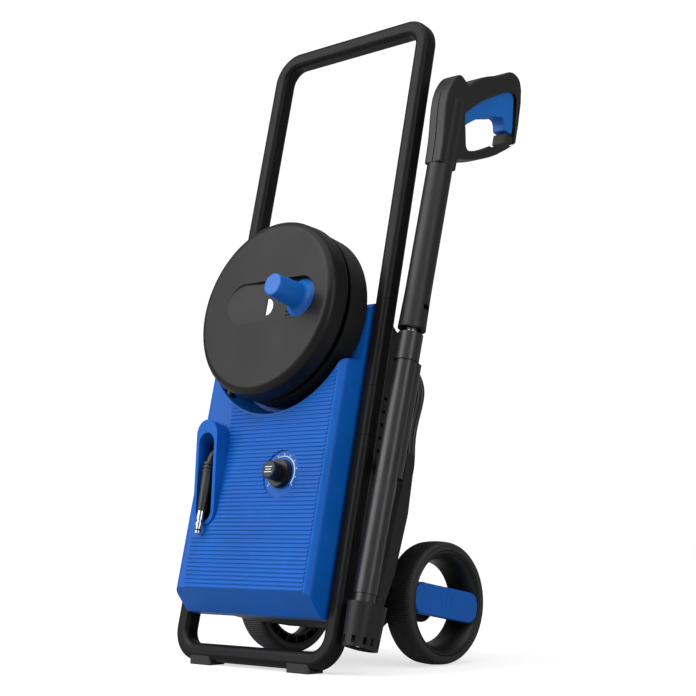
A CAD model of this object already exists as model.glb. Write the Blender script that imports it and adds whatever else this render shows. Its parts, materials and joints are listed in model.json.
# %% [markdown]
# Upright pressure washer, dressed for its picture.
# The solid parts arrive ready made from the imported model, each one riding on the body that
# moves it. This lesson adds what a solid model leaves out: the wound cord, the fine tread,
# softened gun shells, printed marks, and a material for every surface.

# %% Load the frame and keep its box
import json
import math

import bmesh
import bpy
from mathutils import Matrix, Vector


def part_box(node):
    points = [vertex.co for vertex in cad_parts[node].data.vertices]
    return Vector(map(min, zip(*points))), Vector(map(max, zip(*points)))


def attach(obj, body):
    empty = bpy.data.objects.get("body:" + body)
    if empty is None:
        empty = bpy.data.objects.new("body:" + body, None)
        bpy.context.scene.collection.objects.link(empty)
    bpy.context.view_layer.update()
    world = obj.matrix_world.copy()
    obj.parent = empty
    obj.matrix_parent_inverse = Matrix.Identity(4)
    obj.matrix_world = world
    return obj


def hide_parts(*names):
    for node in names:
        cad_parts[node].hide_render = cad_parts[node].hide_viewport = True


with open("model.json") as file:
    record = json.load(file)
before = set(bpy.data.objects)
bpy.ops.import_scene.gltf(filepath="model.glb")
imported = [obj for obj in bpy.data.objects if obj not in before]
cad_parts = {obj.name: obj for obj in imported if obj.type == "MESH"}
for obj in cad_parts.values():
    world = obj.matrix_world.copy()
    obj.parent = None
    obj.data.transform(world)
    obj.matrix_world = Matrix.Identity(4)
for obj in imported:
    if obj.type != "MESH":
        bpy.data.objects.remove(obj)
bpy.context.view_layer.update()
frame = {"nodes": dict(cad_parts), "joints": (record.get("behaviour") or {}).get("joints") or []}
nodes = frame["nodes"]

# %% [markdown]
# The frame leans back, so heights and depths are easiest to give along the lean: s runs up
# the frame, n runs to the rear of it and x runs to the right. The lance leans a little more
# and has its own pair: u up the lance and v to the rear. Everything is in metres.

# %% Places along the leaning frame and along the lance
MM = 0.001
LEAN = math.radians(12.8)
TILT = math.radians(15.0)
MIDDLE = Vector((18.0, 156.9, 0.0))
POCKET_X = -88.0
frame_up = Vector((0, math.sin(LEAN), math.cos(LEAN)))
frame_back = Vector((0, math.cos(LEAN), -math.sin(LEAN)))
lance_up = Vector((0, math.sin(TILT), math.cos(TILT)))
lance_back = Vector((0, math.cos(TILT), -math.sin(TILT)))


def place(x, s, n):
    """A place given by width, height along the frame and depth behind it, in millimetres."""
    return (Vector((x, 0, 0)) + frame_up * s + frame_back * n - MIDDLE) * MM


def lance_place(x, u, v):
    """A place beside the lance: x to the right of its axis, u up it and v behind it."""
    return (Vector((178.0 + x, 27.6, 116.7)) + lance_up * u + lance_back * v - MIDDLE) * MM


def joint_place(name):
    """Where a joint's axis stands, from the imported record."""
    found = [joint for joint in frame["joints"] if joint["name"] == name]
    return Vector(found[0]["pos_m"])


wheel_centre = joint_place("wheel_right_spin")
print("axle at", [round(v, 3) for v in wheel_centre])

# %% [markdown]
# The camera stands low, just above the ground, to the right of the machine, and looks
# slightly upwards. That gives the tall stance, with the top of the frame pulled back.

# %% Camera
camera_data = bpy.data.cameras.new("camera")
camera_data.lens = 77.06
camera_data.sensor_width = 36.0
camera_data.clip_end = 60
camera = bpy.data.objects.new("camera", camera_data)
camera.location = (Vector((1432.27, -1367.67, 182.51)) - MIDDLE) * MM
turn, rise = math.radians(42.71), math.radians(6.86)
look = Vector((-math.sin(turn) * math.cos(rise), math.cos(turn) * math.cos(rise), math.sin(rise)))
camera.rotation_mode = "QUATERNION"
camera.rotation_quaternion = look.to_track_quat("-Z", "Y")
bpy.context.scene.collection.objects.link(camera)
bpy.context.scene.camera = camera
print("camera at", [round(v, 3) for v in camera.location])

# %% [markdown]
# Materials come next, because each piece takes one as it is made. A small helper starts a
# material with its shader, and others add what nearly all real surfaces share: a fine
# grain, uneven gloss and slightly softened edges. Sizes are in metres, as on the object.

# %% Material helpers
def start_material(name, colour, roughness, metallic=0.0, coat=0.0):
    """A new material whose shader has its plain values set; returns it with its tree."""
    material = bpy.data.materials.new(name)
    material.use_nodes = True
    tree = material.node_tree
    shader = tree.nodes["Principled BSDF"]
    shader.inputs["Base Color"].default_value = (*colour, 1)
    shader.inputs["Roughness"].default_value = roughness
    shader.inputs["Metallic"].default_value = metallic
    shader.inputs["Coat Weight"].default_value = coat
    return material, tree, shader


def add_noise(tree, scale, detail=3.0, stretch=(1, 1, 1)):
    """Noise in the object's own metres, drawn out by stretch."""
    where = tree.nodes.new("ShaderNodeTexCoord")
    fit = tree.nodes.new("ShaderNodeMapping")
    fit.inputs["Scale"].default_value = stretch
    noise = tree.nodes.new("ShaderNodeTexNoise")
    noise.inputs["Scale"].default_value = scale
    noise.inputs["Detail"].default_value = detail
    tree.links.new(where.outputs["Object"], fit.inputs["Vector"])
    tree.links.new(fit.outputs["Vector"], noise.inputs["Vector"])
    return noise.outputs["Fac"]


def spread(tree, source, low, high):
    """Maps a middling 0.3 to 0.7 source onto low to high."""
    ranger = tree.nodes.new("ShaderNodeMapRange")
    ranger.inputs["From Min"].default_value = 0.3
    ranger.inputs["From Max"].default_value = 0.7
    ranger.inputs["To Min"].default_value = low
    ranger.inputs["To Max"].default_value = high
    tree.links.new(source, ranger.inputs["Value"])
    return ranger.outputs["Result"]


def tint(tree, shader, source, dark, light):
    """Lets the base colour wander between two shades."""
    mix = tree.nodes.new("ShaderNodeMix")
    mix.data_type = "RGBA"
    mix.inputs["A"].default_value = (*dark, 1)
    mix.inputs["B"].default_value = (*light, 1)
    tree.links.new(source, mix.inputs["Factor"])
    tree.links.new(mix.outputs["Result"], shader.inputs["Base Color"])


def grain(tree, shader, height, depth, edge=0.0005):
    """Surface relief of a given depth over edges rounded by a small radius."""
    bevel = tree.nodes.new("ShaderNodeBevel")
    bevel.samples = 4
    bevel.inputs["Radius"].default_value = edge
    bump = tree.nodes.new("ShaderNodeBump")
    bump.inputs["Strength"].default_value = 1.0
    bump.inputs["Distance"].default_value = depth
    tree.links.new(height, bump.inputs["Height"])
    tree.links.new(bevel.outputs["Normal"], bump.inputs["Normal"])
    tree.links.new(bump.outputs["Normal"], shader.inputs["Normal"])


# %% [markdown]
# Moulded plastic takes its look from the steel mould: a spark-eroded grain of a tenth of a
# millimetre or so, a gloss that varies with the flow of the melt, and a faint haze of dust.
# One function makes every plastic here, so that they differ only in colour and polish.

# %% Moulded plastics
def moulded_plastic(name, colour, roughness, depth=0.000006, edge=0.0005, shine=0.3):
    """Grained plastic: depth of the grain, radius of the edges and strength of the shine."""
    material, tree, shader = start_material(name, colour, roughness)
    shader.inputs["Specular IOR Level"].default_value = shine
    fine = add_noise(tree, 1 / 0.0003, 2.0)
    broad = add_noise(tree, 14.0, 4.0)
    darker, lighter = [c * 0.9 for c in colour], [c * 1.1 for c in colour]
    tint(tree, shader, spread(tree, broad, 0, 1), darker, lighter)
    tree.links.new(spread(tree, broad, roughness - 0.04, roughness + 0.05), shader.inputs["Roughness"])
    grain(tree, shader, fine, depth, edge)
    return material


cover_blue = moulded_plastic(
    "cover_blue", (0.0020, 0.092, 0.410), 0.42, depth=0.000003, edge=0.00015, shine=0.18,
)
knob_blue = moulded_plastic("knob_blue", (0.0040, 0.105, 0.430), 0.34, depth=0.000004)
trigger_blue = moulded_plastic("trigger_blue", (0.0006, 0.115, 0.440), 0.45)
shell_black = moulded_plastic("shell_black", (0.0060, 0.0060, 0.0062), 0.46)
gun_black = moulded_plastic("gun_black", (0.0075, 0.0075, 0.0072), 0.46, shine=0.35)
lance_grey = moulded_plastic("lance_grey", (0.0100, 0.0100, 0.0100), 0.36, shine=0.5)
reel_grey = moulded_plastic("reel_grey", (0.0045, 0.0045, 0.0048), 0.38, shine=0.2)
rim_grey = moulded_plastic("rim_grey", (0.0080, 0.0080, 0.0082), 0.42)
lock_grey = moulded_plastic("lock_grey", (0.018, 0.017, 0.016), 0.5)
dial_black = moulded_plastic("dial_black", (0.0060, 0.0060, 0.0060), 0.34)
print("plastics:", len(bpy.data.materials))

# %% [markdown]
# The pocket for the hose end is lined in black. The lining is part of the cover's material:
# everything behind the face and within the pocket's width and height takes the dark colour.

# %% Dark lining of the pocket
def within(tree, source, low, high):
    """One where the source lies between low and high, else zero."""
    above = tree.nodes.new("ShaderNodeMath")
    above.operation = "GREATER_THAN"
    above.inputs[1].default_value = low
    below = tree.nodes.new("ShaderNodeMath")
    below.operation = "LESS_THAN"
    below.inputs[1].default_value = high
    both = tree.nodes.new("ShaderNodeMath")
    both.operation = "MULTIPLY"
    tree.links.new(source, above.inputs[0])
    tree.links.new(source, below.inputs[0])
    tree.links.new(above.outputs[0], both.inputs[0])
    tree.links.new(below.outputs[0], both.inputs[1])
    return both.outputs[0]


def line_pocket(material, corner, far_corner):
    """Darkens the material between two corners given as (x, s, n) in millimetres."""
    tree = material.node_tree
    shader = tree.nodes["Principled BSDF"]
    where = tree.nodes.new("ShaderNodeTexCoord")
    mask = None
    for axis, low, high in zip((Vector((1, 0, 0)), frame_up, frame_back), corner, far_corner):
        along = tree.nodes.new("ShaderNodeVectorMath")
        along.operation = "DOT_PRODUCT"
        along.inputs[1].default_value = axis
        tree.links.new(where.outputs["Object"], along.inputs[0])
        shift = MIDDLE.dot(axis)
        inside = within(tree, along.outputs["Value"], (low - shift) * MM, (high - shift) * MM)
        if mask is None:
            mask = inside
            continue
        both = tree.nodes.new("ShaderNodeMath")
        both.operation = "MULTIPLY"
        tree.links.new(mask, both.inputs[0])
        tree.links.new(inside, both.inputs[1])
        mask = both.outputs[0]
    mix = tree.nodes.new("ShaderNodeMix")
    mix.data_type = "RGBA"
    mix.inputs["B"].default_value = (0.004, 0.004, 0.0045, 1)
    tree.links.new(shader.inputs["Base Color"].links[0].from_socket, mix.inputs["A"])
    tree.links.new(mask, mix.inputs["Factor"])
    tree.links.new(mix.outputs["Result"], shader.inputs["Base Color"])


line_pocket(cover_blue, (POCKET_X - 15.4, 180, -48.8), (POCKET_X + 15.4, 304, -20))
print("nodes in the cover's material:", len(cover_blue.node_tree.nodes))

# %% [markdown]
# The frame tubes are steel with a satin powder coat. Baked powder levels into a very slight
# orange peel, so the long highlights along the tubes waver a little. Rubber is duller, with
# coarse specks, and the tyres pick up a grey bloom.

# %% Powder coat and rubber
def powder_coat(name, colour, roughness):
    material, tree, shader = start_material(name, colour, roughness)
    shader.inputs["Specular IOR Level"].default_value = 0.13
    peel = add_noise(tree, 900.0, 2.0)
    broad = add_noise(tree, 9.0, 3.0)
    tree.links.new(spread(tree, broad, roughness - 0.03, roughness + 0.05), shader.inputs["Roughness"])
    tint(tree, shader, spread(tree, broad, 0, 1), [c * 0.85 for c in colour], [c * 1.15 for c in colour])
    grain(tree, shader, peel, 0.000012, 0.0008)
    return material


def soft_rubber(name, colour, roughness, bloom):
    material, tree, shader = start_material(name, colour, roughness)
    specks = add_noise(tree, 1800.0, 3.0)
    dusty = add_noise(tree, 35.0, 5.0)
    tint(tree, shader, spread(tree, dusty, 0, 1), colour, [c + bloom for c in colour])
    tree.links.new(spread(tree, dusty, roughness - 0.05, roughness + 0.08), shader.inputs["Roughness"])
    grain(tree, shader, specks, 0.00002, 0.0008)
    return material


frame_black = powder_coat("frame_black", (0.0050, 0.0050, 0.0053), 0.38)
foot_rubber = soft_rubber("foot_rubber", (0.010, 0.010, 0.010), 0.62, 0.006)
tyre_rubber = soft_rubber("tyre_rubber", (0.0055, 0.0055, 0.0058), 0.50, 0.003)
hose_rubber = soft_rubber("hose_rubber", (0.0095, 0.0095, 0.0098), 0.42, 0.003)
cord_rubber = soft_rubber("cord_rubber", (0.0080, 0.0080, 0.0082), 0.40, 0.002)
print("coats and rubbers:", frame_black.name, tyre_rubber.name, cord_rubber.name)

# %% [markdown]
# Metals show how they were worked. Turned and drawn parts carry fine lines along one
# direction, castings are pebbled, and plated fittings are smooth with faint handling marks.
# Stretching the same noise along one axis gives the lines.

# %% Metals
def worked_metal(name, colour, roughness, stretch=(1, 1, 1), scale=700.0, depth=0.000008):
    material, tree, shader = start_material(name, colour, roughness, metallic=1.0)
    lines = add_noise(tree, scale, 3.0, stretch)
    stains = add_noise(tree, 40.0, 4.0)
    tint(tree, shader, spread(tree, stains, 0, 1), [c * 0.86 for c in colour], colour)
    tree.links.new(spread(tree, lines, roughness - 0.04, roughness + 0.08), shader.inputs["Roughness"])
    grain(tree, shader, lines, depth, 0.0003)
    return material


bright_steel = worked_metal("bright_steel", (0.56, 0.56, 0.57), 0.28, (1, 8, 8))
chrome_plate = worked_metal("chrome_plate", (0.58, 0.59, 0.61), 0.16, depth=0.000002)
turned_brass = worked_metal("turned_brass", (0.72, 0.53, 0.24), 0.26, (1, 1, 10))
cast_aluminium = worked_metal("cast_aluminium", (0.58, 0.59, 0.60), 0.48, scale=260.0, depth=0.00008)
stacked_iron = worked_metal("stacked_iron", (0.22, 0.22, 0.23), 0.42, (1, 1, 14), 300.0, 0.00003)
mark_white, mark_tree, mark_shader = start_material("mark_white", (0.62, 0.66, 0.74), 0.5)
grain(mark_tree, mark_shader, add_noise(mark_tree, 3000.0), 0.000004, 0.0001)
print("materials in all:", len(bpy.data.materials))

# %% [markdown]
# Each solid node now gets the finish of its real material. A table that reads like a parts
# list keeps this easy to change.

# %% Finish of every node
finishes = {
    frame_black: ["foot_frame", "handle_loop", "lower_tubes", "collar_tubes", "upper_tubes", "reel_bracket"],
    cover_blue: ["front_cover", "wheel_cap_left", "wheel_cap_right"],
    knob_blue: ["crank_knob"],
    trigger_blue: ["gun_trigger"],
    shell_black: ["rear_housing", "joint_plugs", "lance_cup", "axle_carrier", "cable_hook_lower",
                  "cable_hook_upper", "control_box", "inlet_connector", "reel_ring", "cord_gland",
                  "water_pipes"],
    gun_black: ["gun_shell_left", "gun_shell_right", "gun_barrel"],
    lance_grey: ["lance_fairing", "nozzle"],
    reel_grey: ["reel_disc", "reel_spool"],
    rim_grey: ["rim_left", "rim_right", "hub_bush_left", "hub_bush_right", "motor_housing"],
    lock_grey: ["trigger_lock"],
    dial_black: ["power_dial"],
    foot_rubber: ["foot_pads", "nipple_seal"],
    tyre_rubber: ["tyre_left", "tyre_right"],
    hose_rubber: ["hose_sleeve", "hose_lead", "hose_pack"],
    cord_rubber: ["cord_hank", "cord_lead", "mains_plug"],
    bright_steel: ["axle", "frame_bolts", "push_nuts", "reel_spindle", "crank_pin", "trigger_pin",
                   "lance_rod"],
    chrome_plate: ["hose_nipple"],
    turned_brass: ["swivel_body", "gun_valve"],
    cast_aluminium: ["pump_body", "pump_head"],
    stacked_iron: ["motor_stator", "motor_rotor"],
}


def give(piece, material):
    """Makes material the piece's only finish."""
    piece.data.materials.clear()
    piece.data.materials.append(material)


for material, names in finishes.items():
    for name in names:
        give(nodes[name], material)
finished = {name for names in finishes.values() for name in names}
print("without a finish:", sorted(set(nodes) - finished))

# %% [markdown]
# The mains cord leaves the gland low on the back, dips behind the hank and goes round two
# hooks nine times, three turns side by side in three layers, before its end drops to the
# plug. It is one smooth curve. Its free ends are points chosen by hand and its turns come
# from a loop. Every change of row happens on a straight side, where the turns beside it
# change too, so no turn has to pass through another.

# %% Mains cord
HOOK_LOW, HOOK_HIGH = 316.0, 416.0
turn_radii = (43.6, 51.9, 60.2)
turn_depths = (171.7, 180.0, 188.3)
gland_end = [
    (42, 226, 180), (42, 240, 179), (43, 253, 173), (44, 265, 164.5), (45, 281, 161.5), (44.5, 300, 164),
]
plug_end = [(-61.5, 304, 188), (-65, 287, 184.5), (-73, 268, 177.5), (-79, 253, 174), (-79, 238, 174)]
rows = [(radius, depth) for radius in turn_radii for depth in turn_depths]
rows[3:6] = rows[5:2:-1]
side_steps = (0.1, 0.37, 0.63, 0.9)
PINCH = 7.0


def drawn_in(t):
    """How far the sides sag inwards at a share t of the way between the hooks."""
    return PINCH * math.sin(math.pi * t)


bend_steps = [math.radians(180 * (k + 0.5) / 8) for k in range(8)]
cord_points = [place(*p) for p in gland_end]
for index, (radius, depth) in enumerate(rows):
    last = index == len(rows) - 1
    next_radius, next_depth = (radius, depth) if last else rows[index + 1]
    before_radius = rows[index - 1][0] if index else radius
    outer_layer = radius == turn_radii[2]
    for t in side_steps:
        r = before_radius + (radius - before_radius) * t
        cord_points.append(place(r - drawn_in(t), HOOK_LOW + (HOOK_HIGH - HOOK_LOW) * t, depth))
    for a in bend_steps:
        cord_points.append(place(radius * math.cos(a), HOOK_HIGH + radius * math.sin(a), depth))
    moving = radius == next_radius and not outer_layer
    for t in side_steps:
        n = depth + (next_depth - depth) * t if moving else depth
        cord_points.append(place(drawn_in(t) - radius, HOOK_HIGH - (HOOK_HIGH - HOOK_LOW) * t, n))
    if last:
        break
    for k, a in enumerate(bend_steps):
        n = depth + (next_depth - depth) * (k + 0.5) / 8 if outer_layer else next_depth
        cord_points.append(place(-radius * math.cos(a), HOOK_LOW - radius * math.sin(a), n))
cord_points += [place(*p) for p in plug_end]

cord_curve = bpy.data.curves.new("mains_cord", "CURVE")
cord_curve.dimensions = "3D"
spline = cord_curve.splines.new("NURBS")
spline.points.add(len(cord_points) - 1)
for spot, p in zip(spline.points, cord_points):
    spot.co = (*p, 1)
spline.order_u = 3
spline.use_endpoint_u = True
spline.resolution_u = 6
cord_curve.bevel_depth = 4.0 * MM
cord_curve.bevel_resolution = 5
cord_curve.use_fill_caps = True
mains_cord = bpy.data.objects.new("mains_cord", cord_curve)
bpy.context.scene.collection.objects.link(mains_cord)
give(mains_cord, cord_rubber)
cord_length = sum((b - a).length for a, b in zip(cord_points, cord_points[1:]))
print("cord points", len(cord_points), "runs add up to", round(cord_length, 2))
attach(mains_cord, "machine")
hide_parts("cord_hank", "cord_lead")

# %% [markdown]
# A real tyre of this kind is one rubber ring with fine cross ribs moulded all round its
# crown. Instead of painting them on, the ring is built point by point: a rounded profile is
# swept round the axle, and every other slice of the crown is let in by under a millimetre.

# %% Tyres with cross ribs
TYRE_RIBS = 150
profile = [
    (0.02, 70.0), (0.0, 72.5), (0.0, 75.0), (0.015, 77.6), (0.07, 79.6), (0.15, 80.9), (0.30, 81.6),
    (0.5, 82.0), (0.70, 81.6), (0.85, 80.9), (0.93, 79.6), (0.985, 77.6), (1.0, 75.0), (1.0, 72.5),
    (0.98, 70.0),
]


def ribbed_tyre(name, side, body, node):
    low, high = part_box(node)
    inner, outer = (low.x, high.x) if side > 0 else (high.x, low.x)
    mesh = bmesh.new()
    rings = []
    for k in range(TYRE_RIBS * 4):
        a = 2 * math.pi * k / (TYRE_RIBS * 4)
        sunk = 0.75 if k % 4 in (2, 3) else 0.0
        ring = []
        for share, radius in profile:
            crown = 1.0 if radius > 79 else 0.0
            r = (radius - sunk * crown) * MM
            across = inner + (outer - inner) * share
            round_axle = Vector((across, r * math.sin(a), r * math.cos(a)))
            ring.append(mesh.verts.new(round_axle + Vector((0, wheel_centre.y, wheel_centre.z))))
        rings.append(ring)
    for ring, following in zip(rings, rings[1:] + rings[:1]):
        for i in range(len(profile)):
            j = (i + 1) % len(profile)
            mesh.faces.new((ring[i], ring[j], following[j], following[i]))
    bmesh.ops.recalc_face_normals(mesh, faces=mesh.faces)
    data = bpy.data.meshes.new(name)
    mesh.to_mesh(data)
    mesh.free()
    tyre = bpy.data.objects.new(name, data)
    bpy.context.scene.collection.objects.link(tyre)
    give(tyre, tyre_rubber)
    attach(tyre, body)
    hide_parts(node)
    print(name, "faces", len(data.polygons))


ribbed_tyre("ribbed_tyre_left", -1, "wheel_left", "tyre_left")
ribbed_tyre("ribbed_tyre_right", 1, "wheel_right", "tyre_right")

# %% [markdown]
# The gun's two shells are soft to hold: every edge is rounded by several millimetres. The
# solid shells are sharp, so copies of them are cut into an even grid of small faces and then
# relaxed. The edge along the seam is held still, so the two halves still meet there.

# %% Softened gun shells and trigger
def softened(node, grid, passes, body, held=None):
    """A relaxed copy of a node; its skin near the held plane stays where it is."""
    mesh = bmesh.new()
    mesh.from_mesh(nodes[node].data)
    bmesh.ops.remove_doubles(mesh, verts=mesh.verts, dist=0.00002)
    data = bpy.data.meshes.new(f"soft_{node}")
    mesh.to_mesh(data)
    mesh.free()
    piece = bpy.data.objects.new(f"soft_{node}", data)
    bpy.context.scene.collection.objects.link(piece)
    cutter = piece.modifiers.new("grid", "REMESH")
    cutter.mode = "VOXEL"
    cutter.voxel_size = grid
    even = bpy.data.meshes.new_from_object(piece.evaluated_get(bpy.context.evaluated_depsgraph_get()))
    piece.modifiers.clear()
    piece.data = even
    free = piece.vertex_groups.new(name="free")
    for vertex in even.vertices:
        away = 1.0 if held is None else (abs(vertex.co.x - held) - 0.0015) / 0.004
        free.add([vertex.index], min(max(away, 0.0), 1.0), "REPLACE")
    relax = piece.modifiers.new("relax", "SMOOTH")
    relax.factor = 0.5
    relax.iterations = passes
    relax.vertex_group = "free"
    even = bpy.data.meshes.new_from_object(piece.evaluated_get(bpy.context.evaluated_depsgraph_get()))
    piece.modifiers.clear()
    piece.data = even
    for polygon in even.polygons:
        polygon.use_smooth = True
    give(piece, nodes[node].data.materials[0])
    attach(piece, body)
    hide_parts(node)
    print(piece.name, "faces", len(even.polygons))
    return piece


gun_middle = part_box("gun_shell_left")[1].x
softened("gun_shell_left", 0.0011, 26, "gun", held=gun_middle)
softened("gun_shell_right", 0.0011, 26, "gun", held=gun_middle)
softened("gun_trigger", 0.0009, 6, "trigger")

# %% [markdown]
# The dial has a printed scale: a pale arc that thickens towards full power, short ticks and
# a pointer line on the grip. Print has almost no thickness, so each mark is a flat strip
# that stands a tenth of a millimetre proud.

# %% Printed marks
DIAL = (45.0, 247.0)


def flat_strip(name, outline, out, body):
    """A thin raised strip with this outline, in (x, s), standing out of the front by out."""
    mesh = bmesh.new()
    top = [mesh.verts.new(place(x, s, -(out + 0.12))) for x, s in outline]
    base = [mesh.verts.new(place(x, s, -out)) for x, s in outline]
    count = len(outline)
    mesh.faces.new(top)
    mesh.faces.new(base[::-1])
    for i in range(count):
        j = (i + 1) % count
        mesh.faces.new((top[i], base[i], base[j], top[j]))
    bmesh.ops.recalc_face_normals(mesh, faces=mesh.faces)
    data = bpy.data.meshes.new(name)
    mesh.to_mesh(data)
    mesh.free()
    strip = bpy.data.objects.new(name, data)
    bpy.context.scene.collection.objects.link(strip)
    give(strip, mark_white)
    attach(strip, body)
    return strip


def ring_part(inner, outer, start, end, steps, taper=0.0):
    """Outline of a stretch of ring round the dial, between two angles in degrees."""
    angles = [math.radians(start + (end - start) * k / steps) for k in range(steps + 1)]
    outside = [(DIAL[0] + outer * math.cos(a), DIAL[1] + outer * math.sin(a)) for a in angles]
    inside = []
    for k, a in enumerate(angles):
        r = inner + taper * (1 - k / steps)
        inside.append((DIAL[0] + r * math.cos(a), DIAL[1] + r * math.sin(a)))
    return outside + inside[::-1]


seat_face = 48.8
flat_strip("dial_arc_upper", ring_part(22.4, 24.4, 118, -35, 30, taper=1.4), seat_face, "machine")
flat_strip("dial_arc_lower", ring_part(22.9, 24.4, 215, 150, 14), seat_face, "machine")
for k in range(11):
    middle = 215 - 25 * k
    flat_strip(f"dial_tick_{k}", ring_part(25.6, 27.6, middle - 1.1, middle + 1.1, 1), seat_face, "machine")
for k, (y, half) in enumerate(((3.4, 6.4), (0, 5.0), (-3.4, 6.4))):
    line = [(DIAL[0] - half, DIAL[1] + y - 0.55), (DIAL[0] + half, DIAL[1] + y - 0.55),
            (DIAL[0] + half, DIAL[1] + y + 0.55), (DIAL[0] - half, DIAL[1] + y + 0.55)]
    flat_strip(f"dial_line_{k}", line, 73.8, "dial")

# %% [markdown]
# Each wheel cap carries three short raised bars, moulded with the cap in the same blue.

# %% Bars on the wheel caps
BAR_HALF = Vector((0.0011, 0.0022, 0.0080))
BAR_SUNK = 0.0007
for name, side, body in (("left", -1, "wheel_left"), ("right", 1, "wheel_right")):
    low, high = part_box(f"wheel_cap_{name}")
    face = high.x if side > 0 else low.x
    mesh = bmesh.new()
    for step in (-1, 0, 1):
        made = bmesh.ops.create_cube(mesh, size=2.0)["verts"]
        bmesh.ops.scale(mesh, vec=BAR_HALF, verts=made)
        spot = (face - side * BAR_SUNK, wheel_centre.y + step * 0.011, wheel_centre.z)
        bmesh.ops.translate(mesh, vec=spot, verts=made)
    bmesh.ops.bevel(mesh, geom=mesh.edges[:], offset=0.0003, segments=2, affect="EDGES", profile=0.5)
    data = bpy.data.meshes.new(f"cap_bars_{name}")
    mesh.to_mesh(data)
    mesh.free()
    bars = bpy.data.objects.new(f"cap_bars_{name}", data)
    bpy.context.scene.collection.objects.link(bars)
    give(bars, cover_blue)
    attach(bars, body)
print("bars stand out by", round(BAR_HALF.x - BAR_SUNK, 4))

# %% [markdown]
# The set is a plain white floor with a bright, even surround, so nothing competes with the
# machine. Large soft lamps draw long highlights down the tubes: one high at the front left
# and one at the right. A broad soft sun from above evens out the floor.

# %% Floor, surround and lamps
floor_mesh = bmesh.new()
bmesh.ops.create_circle(floor_mesh, cap_ends=True, segments=96, radius=14)
floor_data = bpy.data.meshes.new("floor")
floor_mesh.to_mesh(floor_data)
floor_mesh.free()
floor = bpy.data.objects.new("floor", floor_data)
bpy.context.scene.collection.objects.link(floor)
floor_white, floor_tree, floor_shader = start_material("floor_white", (0.40, 0.40, 0.40), 0.8)
grain(floor_tree, floor_shader, add_noise(floor_tree, 300.0), 0.00002, 0.0001)
floor_shader.inputs["Emission Color"].default_value = (1, 1, 1, 1)


def only_seen(tree, unseen, seen):
    """A strength that is one value for what is looked at and another for the light it throws."""
    path = tree.nodes.new("ShaderNodeLightPath")
    power = tree.nodes.new("ShaderNodeMapRange")
    power.inputs["To Min"].default_value = unseen
    power.inputs["To Max"].default_value = seen
    tree.links.new(path.outputs["Is Camera Ray"], power.inputs["Value"])
    return power.outputs["Result"]


floor_tree.links.new(only_seen(floor_tree, 0.05, 0.66), floor_shader.inputs["Emission Strength"])
give(floor, floor_white)

world = bpy.data.worlds.new("surround")
world.use_nodes = True
bpy.context.scene.world = world
sky = world.node_tree
background = sky.nodes["Background"]
background.inputs["Color"].default_value = (1, 1, 1, 1)
sky.links.new(only_seen(sky, 0.30, 1.05), background.inputs["Strength"])
bpy.context.scene.view_settings.view_transform = "Standard"


def soft_lamp(name, location, target, width, height, watts):
    data = bpy.data.lights.new(name, "AREA")
    data.shape = "RECTANGLE"
    data.size, data.size_y, data.energy = width, height, watts
    lamp = bpy.data.objects.new(name, data)
    lamp.location = location
    lamp.rotation_mode = "QUATERNION"
    lamp.rotation_quaternion = (Vector(target) - Vector(location)).to_track_quat("-Z", "Y")
    bpy.context.scene.collection.objects.link(lamp)


soft_lamp("key", (-1.3, -2.4, 2.0), (0, 0, 0.45), 2.8, 3.0, 100)
soft_lamp("side", (2.6, -0.6, 1.4), (0, 0, 0.4), 0.9, 2.4, 24)
sun_data = bpy.data.lights.new("overhead", "SUN")
sun_data.energy = 1.7
sun_data.angle = math.radians(70)
sun = bpy.data.objects.new("overhead", sun_data)
sun.rotation_euler = (math.radians(18), 0, math.radians(10))
bpy.context.scene.collection.objects.link(sun)
